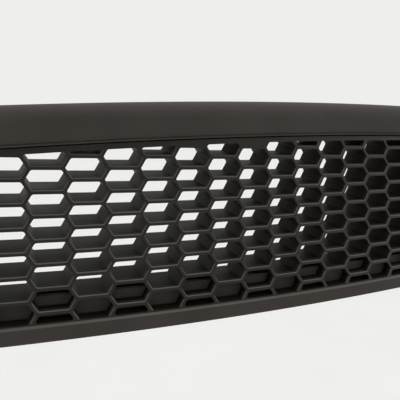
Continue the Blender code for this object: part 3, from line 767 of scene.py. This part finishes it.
def make_insert(plastic, front, painted_highlight):
    bm = bmesh.new()
    rows_up = math.ceil(ARCH_CROWN_Z / ROW_PITCH) + 1
    rows_down = math.ceil(-LIP_TOP_Z / ROW_PITCH) + 1
    for column in range(-SIDE_COLUMNS - 1, SIDE_COLUMNS + 2):
        shift = 0.5 if column % 2 else 0.0
        for row in range(-rows_up, rows_down):
            add_cell(bm, column, row - shift)
    for end in (-END_ARC, END_ARC):
        top = parting_z(arc_to_x(end)) - TOP_CHAMFER
        brow = top + TOP_CHAMFER
        corners = ((top, 0), (brow, TOP_CHAMFER), (brow, CELL_DEPTH), (top, CELL_DEPTH))
        bm.faces.new([bm.verts.new(face_point(end, z, depth)) for z, depth in corners])
    # A cell that the border only grazes leaves a sliver, which is closed here.
    bmesh.ops.remove_doubles(bm, verts=bm.verts, dist=WELD)
    open_edges = [edge for edge in bm.edges if edge.is_boundary]
    bmesh.ops.holes_fill(bm, edges=open_edges, sides=SLIVER_SIDES)

    flanges = bmesh.new()
    inside = END_X - GAP
    back = UPPER_FLANGE_SETBACK + FLANGE_WALL
    upper = rounded([(back, -FLANGE_LAP), (back, UPPER_FLANGE_HEIGHT),
                     (UPPER_FLANGE_SETBACK, UPPER_FLANGE_HEIGHT), (UPPER_FLANGE_SETBACK, -FLANGE_LAP)],
                    GAP, 2)
    loft(flanges, [rail_loop(x, upper) for x in smooth_stations(inside)])
    low = LIP_BOTTOM_Z + LIP_WALL + GAP
    lap = FACE_BOTTOM_Z + FLANGE_LAP
    shelf = FACE_BOTTOM_Z - INSERT_FLOOR
    back = LOWER_FLANGE_SETBACK + FLANGE_WALL
    lower = [(LOWER_FLANGE_SETBACK, lap), (LOWER_FLANGE_SETBACK, low), (back, low), (back, shelf),
             (CHANNEL_FRONT - GAP, shelf), (CHANNEL_FRONT - GAP, lap)]
    loft(flanges, [raked_loop(x, lower) for x in smooth_stations(inside)])

    cuts = bmesh.new()
    notch_top = CHANNEL_FRONT_TOP_Z + GAP
    beyond = CELL_DEPTH + 5 * OVERRUN
    notch = [(CHANNEL_FRONT - GAP, LIP_BOTTOM_Z), (CHANNEL_FRONT - GAP, notch_top),
             (beyond, notch_top), (beyond, LIP_BOTTOM_Z)]
    loft(cuts, [raked_loop(x, notch) for x in smooth_stations(END_X + OVERRUN)])
    for column in SCREW_COLUMNS:
        rod(cuts, CLEARANCE_R, UPPER_FLANGE_SETBACK - OVERRUN,
            UPPER_FLANGE_SETBACK + FLANGE_WALL + OVERRUN, rail_screw_placing(column))
    for side in (-1, 1):
        for z in END_SCREW_Z:
            rod(cuts, PILOT_R, -SCREW_LENGTH, OVERRUN, end_screw_placing(side, z))
    mesh = worked("honeycomb insert", bm, joins=[flanges], cuts=cuts)
    # Painted light: the wall fronts are glossier and painted a little lighter; the bevel and ledge of
    # each opening are much lighter, a painted highlight.
    flat = RIM_CHAMFER / 4
    ledge = RIM_STEP_DEPTH + GAP
    finish_and_paint_front(mesh, plastic, [(front, lambda z, depth: depth < flat),
                                 (painted_highlight, lambda z, depth: flat < depth < ledge)])
    piece("honeycomb_insert", mesh, plastic)


# ---------------------------------------------------------------- upper rail

def rail_outer_path():
    """Front and top of the rail, from the rolled edge over the nose to the end of the shelf."""
    nose = bezier(RAIL_EDGE, RAIL_NOSE_LOW, RAIL_NOSE_HIGH, RAIL_CREST, NOSE_STEPS)
    back = bezier(RAIL_CREST, *RAIL_BACK, RAIL_BACK_STEPS)
    corner = filleted([RAIL_BACK[-1], RAIL_SHELF, (RAIL_SHELF_END, RAIL_SHELF[1])], SHELF_CORNER)
    angles = [math.radians(BEAD_START + BEAD_TURN * i) for i in range(BEAD_STEPS)]
    bead = [(BEAD[0] + BEAD_R * math.cos(a), BEAD[1] + BEAD_R * math.sin(a)) for a in angles]
    whole = nose + back[1:] + [tuple(p) for p in corner[1:]]
    detailed = [BEAD_INNER] + bead + [BEAD_CREASE] + whole[NOSE_SKIP:]
    return whole, detailed


def make_rail(plastic):
    plain, detailed = rail_outer_path()
    section = detailed + [tuple(p) for p in reversed(offset_path(plain, RAIL_WALL))]
    bm = bmesh.new()
    loft(bm, [rail_loop(x, section) for x in smooth_stations()])

    bosses = bmesh.new()
    holes = bmesh.new()
    boss_end = UPPER_FLANGE_SETBACK - GAP
    for column in SCREW_COLUMNS:
        placing = rail_screw_placing(column)
        rod(bosses, BOSS_R, BOSS_ROOT, boss_end, placing)
        rod(holes, PILOT_R, BOSS_FLOOR, boss_end + OVERRUN, placing)
    for column in BRACKET_COLUMNS:
        placing = shelf_placing(column, BRACKET_FRONT + BRACKET_SCREW_INSET)
        for spread in (-BRACKET_SCREW_SPREAD, BRACKET_SCREW_SPREAD):
            at_screw = placing @ Matrix.Translation((spread, 0, 0))
            rod(holes, PILOT_R, -RAIL_WALL - OVERRUN, OVERRUN, at_screw)
    mesh = worked("upper rail", bm, joins=[bosses], cuts=holes)
    piece("upper_rail", mesh, plastic)


# ---------------------------------------------------------------- lower lip and channel

def make_lip(plastic, painted_highlight):
    section = rounded([(LIP_FRONT_BACK, LIP_TOP_Z), (LIP_BEVEL - LIP_PROUD, LIP_TOP_Z),
                       (-LIP_PROUD, LIP_TOP_Z - LIP_BEVEL), (-LIP_PROUD, LIP_BOTTOM_Z),
                       (LIP_FLOOR_DEPTH, LIP_BOTTOM_Z), (LIP_FLOOR_DEPTH, LIP_BOTTOM_Z + LIP_WALL),
                       (LIP_FRONT_BACK, LIP_BOTTOM_Z + LIP_WALL)],
                      [0.3 * MM, 0.25 * MM, 0.4 * MM, 1.0 * MM, 0.5 * MM, 0.3 * MM, 1.0 * MM], 4)
    bm = bmesh.new()
    loft(bm, [raked_loop(x, section) for x in smooth_stations()])
    holes = bmesh.new()
    for column in SCREW_COLUMNS:
        rod(holes, CLEARANCE_R, -LIP_WALL - OVERRUN, OVERRUN, floor_placing(column, LIP_SCREW_Y))
    for column in NUT_COLUMNS:
        rod(holes, NUT_HOLE_R + GAP, -LIP_WALL - OVERRUN, OVERRUN,
            floor_placing(column, LIP_FLOOR_DEPTH - NUT_HOLE_INSET))
    mesh = worked("lower lip", bm, cuts=holes)
    # The top bevel of the lip is painted much lighter: a painted highlight.
    low = LIP_TOP_Z - LIP_BEVEL
    high = LIP_TOP_Z - GAP / 2
    reach = LIP_BEVEL - LIP_PROUD
    finish_and_paint_front(mesh, plastic, [(painted_highlight, lambda z, depth: low < z < high and depth < reach)])
    piece("lower_lip", mesh, plastic)


def make_channel(plastic):
    base = LIP_BOTTOM_Z + LIP_WALL + GAP
    front_back = CHANNEL_FRONT + CHANNEL_WALL
    rear_front = CHANNEL_REAR - CHANNEL_WALL
    section = rounded([(CHANNEL_FRONT, CHANNEL_FRONT_TOP_Z), (CHANNEL_FRONT, base), (CHANNEL_REAR, base),
                       (CHANNEL_REAR, CHANNEL_REAR_TOP_Z), (rear_front, CHANNEL_REAR_TOP_Z),
                       (rear_front, base + CHANNEL_WALL), (front_back, base + CHANNEL_WALL),
                       (front_back, CHANNEL_FRONT_TOP_Z)],
                      [0.3 * MM, 1.2 * MM, 1.2 * MM, 0.4 * MM, 0.4 * MM, 0.8 * MM, 0.8 * MM, 0.4 * MM], 3)
    bm = bmesh.new()
    loft(bm, [raked_loop(x, section) for x in smooth_stations()])
    holes = bmesh.new()
    for column in SCREW_COLUMNS:
        rod(holes, PILOT_R, -LIP_WALL - GAP - CHANNEL_WALL - OVERRUN, OVERRUN - LIP_WALL,
            floor_placing(column, LIP_SCREW_Y))
    piece("lower_channel", worked("lower channel", bm, cuts=holes), plastic)


# ---------------------------------------------------------------- end cheeks

def make_cheek(side, node, plastic):
    inner = END_X + GAP
    outer = inner + CHEEK_WALL
    plain, _ = rail_outer_path()
    lower = [(y, z) for _, y, z in raked_loop(END_X, [
        (LIP_FLOOR_DEPTH, LIP_BOTTOM_Z), (-LIP_PROUD, LIP_BOTTOM_Z), (-LIP_PROUD, END_TOP_Z)])]
    upper = [(y, z) for _, y, z in rail_loop(END_X, plain[::CHEEK_SKIP] + plain[-1:])]
    bm = bmesh.new()
    loft(bm, [[(side * x, y, z) for y, z in lower + upper] for x in (inner, outer)])

    back = face_y(END_X, LIP_BOTTOM_Z) + LIP_FLOOR_DEPTH
    front = back - CHEEK_WALL
    root = inner + CHEEK_WALL / 2
    tip = outer + TAB_WIDTH
    low = TAB_BOTTOM_Z
    high = low + TAB_HEIGHT
    shape = rounded([(root, low), (tip, low), (tip, high), (root, high)],
                    [0.1 * MM, TAB_HEIGHT / 5, TAB_HEIGHT / 5, 0.1 * MM], 8)
    tab = loft(bmesh.new(), [[(side * x, y, z) for x, z in shape] for y in (front, back)])
    gussets = bmesh.new()
    for share in GUSSET_SHARES:
        z = low + share * TAB_HEIGHT
        reach = TAB_WIDTH / 2
        gusset = [(root, front + MM), (outer + reach, front + MM), (root, front - reach)]
        loft(gussets, [[(side * x, y, height) for x, y in gusset]
                       for height in (z - GUSSET_WALL / 2, z + GUSSET_WALL / 2)])

    cuts = bmesh.new()
    slot_x = outer + TAB_WIDTH / 2
    half = TAB_SLOT_LENGTH / 2
    wide = TAB_SLOT_WIDTH / 2
    middle = low + TAB_HEIGHT / 2
    slot = rounded([(slot_x - wide, middle - half), (slot_x + wide, middle - half),
                    (slot_x + wide, middle + half), (slot_x - wide, middle + half)], wide, 8)
    loft(cuts, [[(side * x, y, z) for x, z in slot] for y in (front - OVERRUN, back + OVERRUN)])
    for z in END_SCREW_Z:
        rod(cuts, CLEARANCE_R, -OVERRUN, CHEEK_WALL + OVERRUN, end_screw_placing(side, z))
    mesh = worked("end cheek", bm, joins=(tab, gussets), cuts=cuts, bevel=CHEEK_BEVEL)
    piece(node, mesh, plastic)


# ---------------------------------------------------------------- brackets, retainers, foam

def bracket_mesh():
    """Joggled and rounded steel strip with two screw holes and the retainer's hole."""
    upper = GAP + BRACKET_SHEET
    joggle = RAIL_SHELF_END - BRACKET_FRONT + BRACKET_SKEW + 2 * GAP
    path = filleted([(0, upper), (joggle, upper), (joggle + JOGGLE_RUN, upper - JOGGLE_DROP),
                     (BRACKET_DEPTH, upper - JOGGLE_DROP)], BRACKET_BEND)
    section = [tuple(p) for p in path + offset_path(path, BRACKET_SHEET)[::-1]]
    half = BRACKET_WIDTH / 2
    bm = loft(bmesh.new(), [[(x, y, z) for y, z in section] for x in (-half, half)])
    wide = half + GAP
    end = BRACKET_DEPTH - GAP / 8
    outline = rounded([(-wide, -OVERRUN), (wide, -OVERRUN), (wide, end), (-wide, end)],
                      [MM, MM, BRACKET_CORNER, BRACKET_CORNER], 10)
    reach = 5 * OVERRUN
    blank = loft(bmesh.new(), [[(x, y, z) for x, y in outline] for z in (-reach, reach)])
    cuts = bmesh.new()
    for spread in (-BRACKET_SCREW_SPREAD, BRACKET_SCREW_SPREAD):
        rod(cuts, CLEARANCE_R, -OVERRUN, BRACKET_SHEET + OVERRUN,
            Matrix.Translation((spread, BRACKET_SCREW_INSET, 0)))
    rod(cuts, NECK_R + GAP, -JOGGLE_DROP - OVERRUN, OVERRUN, Matrix.Translation((0, RETAINER_INSET, 0)))
    return worked("bracket", bm, keep=blank, cuts=cuts, bevel=BRACKET_BEVEL)


def retainer_mesh():
    """Push-pin retainer: a collar, and four split legs with a barb that grip the car's panel."""
    bore = PIN_R + GAP
    high = GAP + COLLAR
    profile = [(bore + 0.3 * MM, high), (COLLAR_R - 0.9 * MM, high),
               (COLLAR_R - 0.2 * MM, high - 0.5 * MM),
               (COLLAR_R, GAP + 0.6 * MM), (COLLAR_R, GAP), (NECK_R - 0.4 * MM, GAP),
               (NECK_R - 0.4 * MM, -3.0 * MM), (NECK_R, -4.2 * MM), (NECK_R, -5.6 * MM),
               (NECK_R - 0.4 * MM, -8.0 * MM), (3.0 * MM, -LEG + MM), (2.7 * MM, -LEG),
               (bore, -LEG), (bore, high - 0.3 * MM)]
    bm = turned(bmesh.new(), profile, ring=True)
    slots = cross_tool(COLLAR_R, COLLAR_R, 0.5 * MM, -2.4 * MM, -LEG - OVERRUN, math.pi / 4)
    return worked("retainer body", bm, cuts=slots)


def pin_mesh():
    """The retainer's pin: a low domed head with a pry notch, and a shank with a tapered tip."""
    seat = 2 * GAP + COLLAR
    top = seat + PIN_HEAD
    tip = -LEG - PIN_TIP
    profile = [(0, top), (PIN_HEAD_R * 0.55, top - 0.05 * MM), (PIN_HEAD_R * 0.85, top - 0.25 * MM),
               (PIN_HEAD_R, top - 0.7 * MM), (PIN_HEAD_R, seat + 0.15 * MM),
               (PIN_HEAD_R - 0.15 * MM, seat), (PIN_R, seat), (PIN_R, -LEG + 2 * MM),
               (PIN_R - 0.3 * MM, -LEG + 1.4 * MM), (PIN_R, -LEG + 0.8 * MM), (PIN_R, -LEG),
               (PIN_R * 0.6, tip), (0, tip)]
    bm = turned(bmesh.new(), profile)
    low = seat - MM
    notch = [(PIN_HEAD_R - 1.2 * MM, -1.5 * MM), (PIN_HEAD_R + MM, -1.5 * MM),
             (PIN_HEAD_R + MM, 1.5 * MM), (PIN_HEAD_R - 1.2 * MM, 1.5 * MM)]
    cut = loft(bmesh.new(), [[(x, y, z) for x, y in notch] for z in (low, seat + 0.5 * MM)])
    return worked("retainer pin", bm, cuts=cut)


def make_brackets(steel, nylon):
    bracket = bracket_mesh()
    retainer = retainer_mesh()
    pin = pin_mesh()
    top = Matrix.Translation((0, 0, GAP + BRACKET_SHEET - JOGGLE_DROP))
    for index, column in enumerate(BRACKET_COLUMNS, 1):
        piece(f"bracket_{index}", bracket, steel, shelf_placing(column, BRACKET_FRONT))
        placing = shelf_placing(column, BRACKET_FRONT + RETAINER_INSET) @ top
        piece(f"retainer_body_{index}", retainer, nylon, placing)
        piece(f"retainer_pin_{index}", pin, nylon, placing, f"retainer_pin_{index}")


def make_foam(foam):
    low = RAIL_SHELF[1] + GAP
    section = rounded([(FOAM_FRONT, low), (FOAM_FRONT + FOAM_WIDTH, low),
                       (FOAM_FRONT + FOAM_WIDTH, low + FOAM_HEIGHT), (FOAM_FRONT, low + FOAM_HEIGHT)],
                      [0.2 * MM, 0.2 * MM, 1.1 * MM, 1.1 * MM], 4)
    bm = bmesh.new()
    loft(bm, [rail_loop(x, section) for x in smooth_stations(END_X - FOAM_END_MARGIN)])
    piece("foam_seal", mesh_of("foam seal", bm), foam)


# ---------------------------------------------------------------- screws and nuts

def screw_mesh(length):
    """Pan-head screw with a cross recess and a thread-forming shank; zero is under its gap."""
    top = GAP + SCREW_HEAD
    profile = [(0, top), (1.6 * MM, top - 0.05 * MM), (2.7 * MM, top - 0.3 * MM),
               (3.4 * MM, top - 0.8 * MM), (SCREW_HEAD_R, GAP + 0.6 * MM),
               (SCREW_HEAD_R, GAP + 0.15 * MM), (SCREW_HEAD_R - 0.15 * MM, GAP), (SCREW_R, GAP),
               (SCREW_R * 0.8, GAP - 0.4 * MM)]
    turns = int((length - 1.6 * MM) / THREAD_PITCH)
    for i in range(turns):
        z = -0.3 * MM - i * THREAD_PITCH
        crest = z - 0.3 * THREAD_PITCH
        profile += [(SCREW_R * 0.8, z), (SCREW_R, crest), (SCREW_R * 0.8, 2 * crest - z)]
    profile += [(SCREW_R * 0.75, 0.9 * MM - length), (SCREW_R * 0.3, -length), (0, -length)]
    bm = turned(bmesh.new(), profile, SCREW_SIDES)
    recess = cross_tool(2.1 * MM, 0.9 * MM, 0.42 * MM, top + 0.2 * MM, top - 1.3 * MM)
    return worked("pan-head screw", bm, cuts=recess)


def make_screws(steel):
    long = screw_mesh(SCREW_LENGTH)
    rail = screw_mesh(RAIL_SCREW_LENGTH)
    lip = screw_mesh(LIP_SCREW_LENGTH)
    behind = Matrix.Translation((0, 0, UPPER_FLANGE_SETBACK + FLANGE_WALL))
    outside = Matrix.Translation((0, 0, GAP + CHEEK_WALL))
    places = []
    for index, column in enumerate(SCREW_COLUMNS, 1):
        places.append((f"rail_screw_{index}", rail, rail_screw_placing(column) @ behind))
        places.append((f"lip_screw_{index}", lip, floor_placing(column, LIP_SCREW_Y)))
    pairs = [(column, spread) for column in BRACKET_COLUMNS
             for spread in (-BRACKET_SCREW_SPREAD, BRACKET_SCREW_SPREAD)]
    for index, (column, spread) in enumerate(pairs, 1):
        on_bracket = Matrix.Translation((spread, 0, GAP + BRACKET_SHEET))
        places.append((f"bracket_screw_{index}", long,
                       shelf_placing(column, BRACKET_FRONT + BRACKET_SCREW_INSET) @ on_bracket))
    ends = [(side, z) for side in (-1, 1) for z in END_SCREW_Z]
    for index, (side, z) in enumerate(ends, 1):
        places.append((f"end_screw_{index}", long, end_screw_placing(side, z) @ outside))
    for number, (node, mesh, placing) in enumerate(places):
        spin = Matrix.Rotation(SCREW_SPIN * number, 4, "Z")
        piece(node, mesh, steel, placing @ spin)


def nut_mesh():
    """U-nut: a strip folded over the lip's rear edge, with a plain collar on top."""
    low = GAP + NUT_SHEET
    high = LIP_WALL + GAP + NUT_SHEET
    back = GAP + NUT_SHEET
    path = filleted([(-NUT_GRIP - MM, -low - 0.5 * MM), (-NUT_GRIP + MM, -low), (back, -low),
                     (back, high), (-NUT_GRIP, high)], NUT_BEND)
    section = [tuple(p) for p in path] + [tuple(p) for p in offset_path(path, -NUT_SHEET)[::-1]]
    half = NUT_WIDTH / 2
    bm = loft(bmesh.new(), [[(x, y, z) for y, z in section] for x in (-half, half)])
    at_hole = Matrix.Translation((0, -NUT_HOLE_INSET, 0))
    collar = rod(bmesh.new(), NUT_HOLE_R + NUT_COLLAR_WALL, high - NUT_SHEET / 2,
                 high + NUT_COLLAR_HEIGHT, at_hole)
    hole = rod(bmesh.new(), NUT_HOLE_R - GAP, -low - OVERRUN, high + 2 * OVERRUN, at_hole)
    return worked("U-nut", bm, joins=[collar], cuts=hole, bevel=NUT_BEVEL)


def make_nuts(steel):
    mesh = nut_mesh()
    for index, column in enumerate(NUT_COLUMNS, 1):
        middle, along = facet(lip_point, column)
        edge = Matrix.Translation(middle + Vector((0, LIP_FLOOR_DEPTH + RAKE * LIP_WALL, 0)))
        turn = Matrix.Rotation(math.atan2(along.y, along.x), 4, "Z")
        piece(f"u_nut_{index}", mesh, steel, edge @ turn)


# ---------------------------------------------------------------- studio

FLOOR_DROP = 1.5
FLOOR_HALF = 12.0
WORLD_GREY = "eeeeed"
BRIGHT_SIDE = Vector((0.6, 0.65, 0.45))
DIM_END = (-0.5, 0.45)           # (how far towards the bright side, brightness)
BRIGHT_END = (0.5, 1.26)
KEY_PLACE = Vector((0.1, 0.2, 1.5))     # from the middle of the grille
KEY_SIZE = 1.0
KEY_WATTS = 4.0
CAMERA_PLACE = Vector((-0.27387, -0.206303, 0.045261))  # from the crown of the face
CAMERA_VIEW = Vector((0.44431421, 0.86020553, -0.25026253))
CAMERA_UP = Vector((0.05343238, 0.25340855, 0.96588254))
LENS = 37.535                   # millimetres, on a sensor 36 millimetres wide
LENS_SHIFT = (-0.03198, -0.01122)


def make_floor():
    """Plain pale floor, well below the grille, which is held up by its brackets."""
    low = cad_low.z - FLOOR_DROP
    bm = bmesh.new()
    bm.faces.new([bm.verts.new((x * FLOOR_HALF, y * FLOOR_HALF, low))
                  for x, y in ((-1, -1), (1, -1), (1, 1), (-1, 1))])
    mesh = mesh_of("floor", bm)
    mesh.materials.append(studio_paper())
    floor = bpy.data.objects.new("floor", mesh)
    bpy.context.collection.objects.link(floor)


def add_light(name, place, target, size, watts):
    """Soft box that looks from its place at a target."""
    data = bpy.data.lights.new(name, "AREA")
    data.shape = "DISK"
    data.size = size
    data.energy = watts
    light = bpy.data.objects.new(name, data)
    bpy.context.collection.objects.link(light)
    light.location = place
    light.rotation_mode = "QUATERNION"
    light.rotation_quaternion = (Vector(target) - Vector(place)).to_track_quat("-Z", "Y")


def make_studio():
    """A pale room, brightest behind the grille and to its right, and dim in front of it."""
    world = bpy.data.worlds.new("studio")
    bpy.context.scene.world = world
    world.use_nodes = True
    tree = world.node_tree
    seen = tree.nodes["Background"]
    seen.inputs["Color"].default_value = linear(WORLD_GREY)
    direction = add_node(tree, "TexCoord").outputs["Generated"]
    towards = add_node(tree, "VectorMath", {0: direction, 1: BRIGHT_SIDE.normalized()},
                       operation="DOT_PRODUCT").outputs["Value"]
    strength = add_node(tree, "MapRange", {"Value": towards,
                                           "From Min": DIM_END[0], "From Max": BRIGHT_END[0],
                                           "To Min": DIM_END[1], "To Max": BRIGHT_END[1]},
                        interpolation_type="SMOOTHSTEP")
    lit = add_node(tree, "Background", {"Color": linear(WORLD_GREY), "Strength": strength})
    direct = add_node(tree, "LightPath").outputs["Is Camera Ray"]
    both = add_node(tree, "MixShader", {0: direct, 1: lit, 2: seen})
    tree.links.new(both.outputs[0], tree.nodes["World Output"].inputs["Surface"])
    middle = (cad_low + cad_high) / 2
    add_light("key", middle + KEY_PLACE, middle, KEY_SIZE, KEY_WATTS)
    bpy.context.scene.view_settings.view_transform = "Standard"


def make_camera():
    """Close in front of the grille's left half, looking to the right and slightly down."""
    data = bpy.data.cameras.new("camera")
    data.sensor_width = 36.0
    data.lens = LENS
    data.shift_x, data.shift_y = LENS_SHIFT
    data.clip_start = 0.01
    camera = bpy.data.objects.new("camera", data)
    bpy.context.collection.objects.link(camera)
    view = CAMERA_VIEW.normalized()
    right = view.cross(CAMERA_UP).normalized()
    spin = Matrix((right, right.cross(view), -view)).transposed().to_4x4()
    camera.matrix_world = SHIFT @ Matrix.Translation(CAMERA_PLACE) @ spin
    bpy.context.scene.camera = camera


# ---------------------------------------------------------------- build

def main():
    # Deep in the cells the plastic is dark and matt; on the front of their walls it is smoother and
    # painted a little lighter, painted light.
    # Their edges are painted much lighter, a painted highlight.  The rail and lip are an even, paler
    # satin.
    honeycomb_black = moulded_abs("moulded_abs_matt", "14120f", "191613",
                                  rough=0.62, specular=0.2, grain=0.35)
    # Painted light: the same plastic as the honeycomb, smoother and a little lighter on the front of the
    # walls than deep in the cells.
    front_black_painted_light = moulded_abs("moulded_abs_front_painted_light", "181512", "1d1a17",
                              rough=0.42, specular=0.5, grain=0.22)
    # A painted highlight: the bevels of the openings and of the lip, painted far lighter than the
    # plastic.
    painted_highlight_black = moulded_abs("moulded_abs_painted_highlight", "524e49", "5a5650",
                             rough=0.42, specular=0.4, grain=0.35)
    rail_black = moulded_abs("moulded_abs_satin", "3c3835", "433f3c",
                             rough=0.7, specular=0.25, grain=0.22)
    steel = zinc_steel()
    nylon = moulded_nylon()
    make_insert(honeycomb_black, front_black_painted_light, painted_highlight_black)
    make_rail(rail_black)
    make_lip(rail_black, painted_highlight_black)
    # The channel sits in shade behind the insert and takes the paler rail plastic, which lifts it:
    # painted light.
    make_channel(rail_black)
    make_cheek(-1, "end_cheek_left", honeycomb_black)
    make_cheek(1, "end_cheek_right", honeycomb_black)
    make_brackets(steel, nylon)
    make_foam(open_cell_foam())
    make_screws(steel)
    make_nuts(steel)
    make_floor()
    make_studio()
    make_camera()


main()
